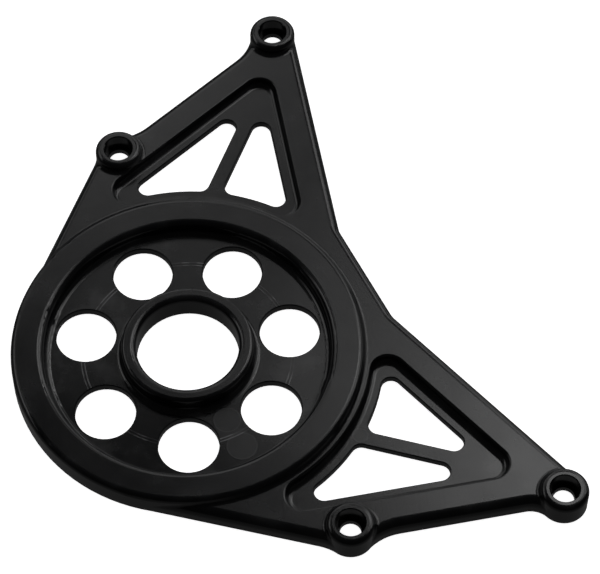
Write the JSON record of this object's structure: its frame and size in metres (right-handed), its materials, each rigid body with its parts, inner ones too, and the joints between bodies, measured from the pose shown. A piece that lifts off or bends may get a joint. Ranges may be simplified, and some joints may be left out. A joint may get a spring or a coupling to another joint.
{
  "type": "belt pulley cover",
  "caption": "Flat machined cover plate: a dished, perforated ring round a central bore, with windowed arms that end in counterbored screw bosses.",
  "frame": {"origin": "on the axis of the central bore, in the plane of the back face", "axes": "+Z along the bore, out of the dished front face; +Y towards the longer arm's tip side, +X to the right of the front view; the arms spread about a line 26 degrees from +X"},
  "size_m": [0.2679, 0.3025, 0.0135],
  "materials": {
    "black_finish": "black anodised, satin to semi-gloss over fine machining marks"
  },
  "bodies": {
    "root": {"pulley_cover": "black_finish"}
  },
  "joints": []
}
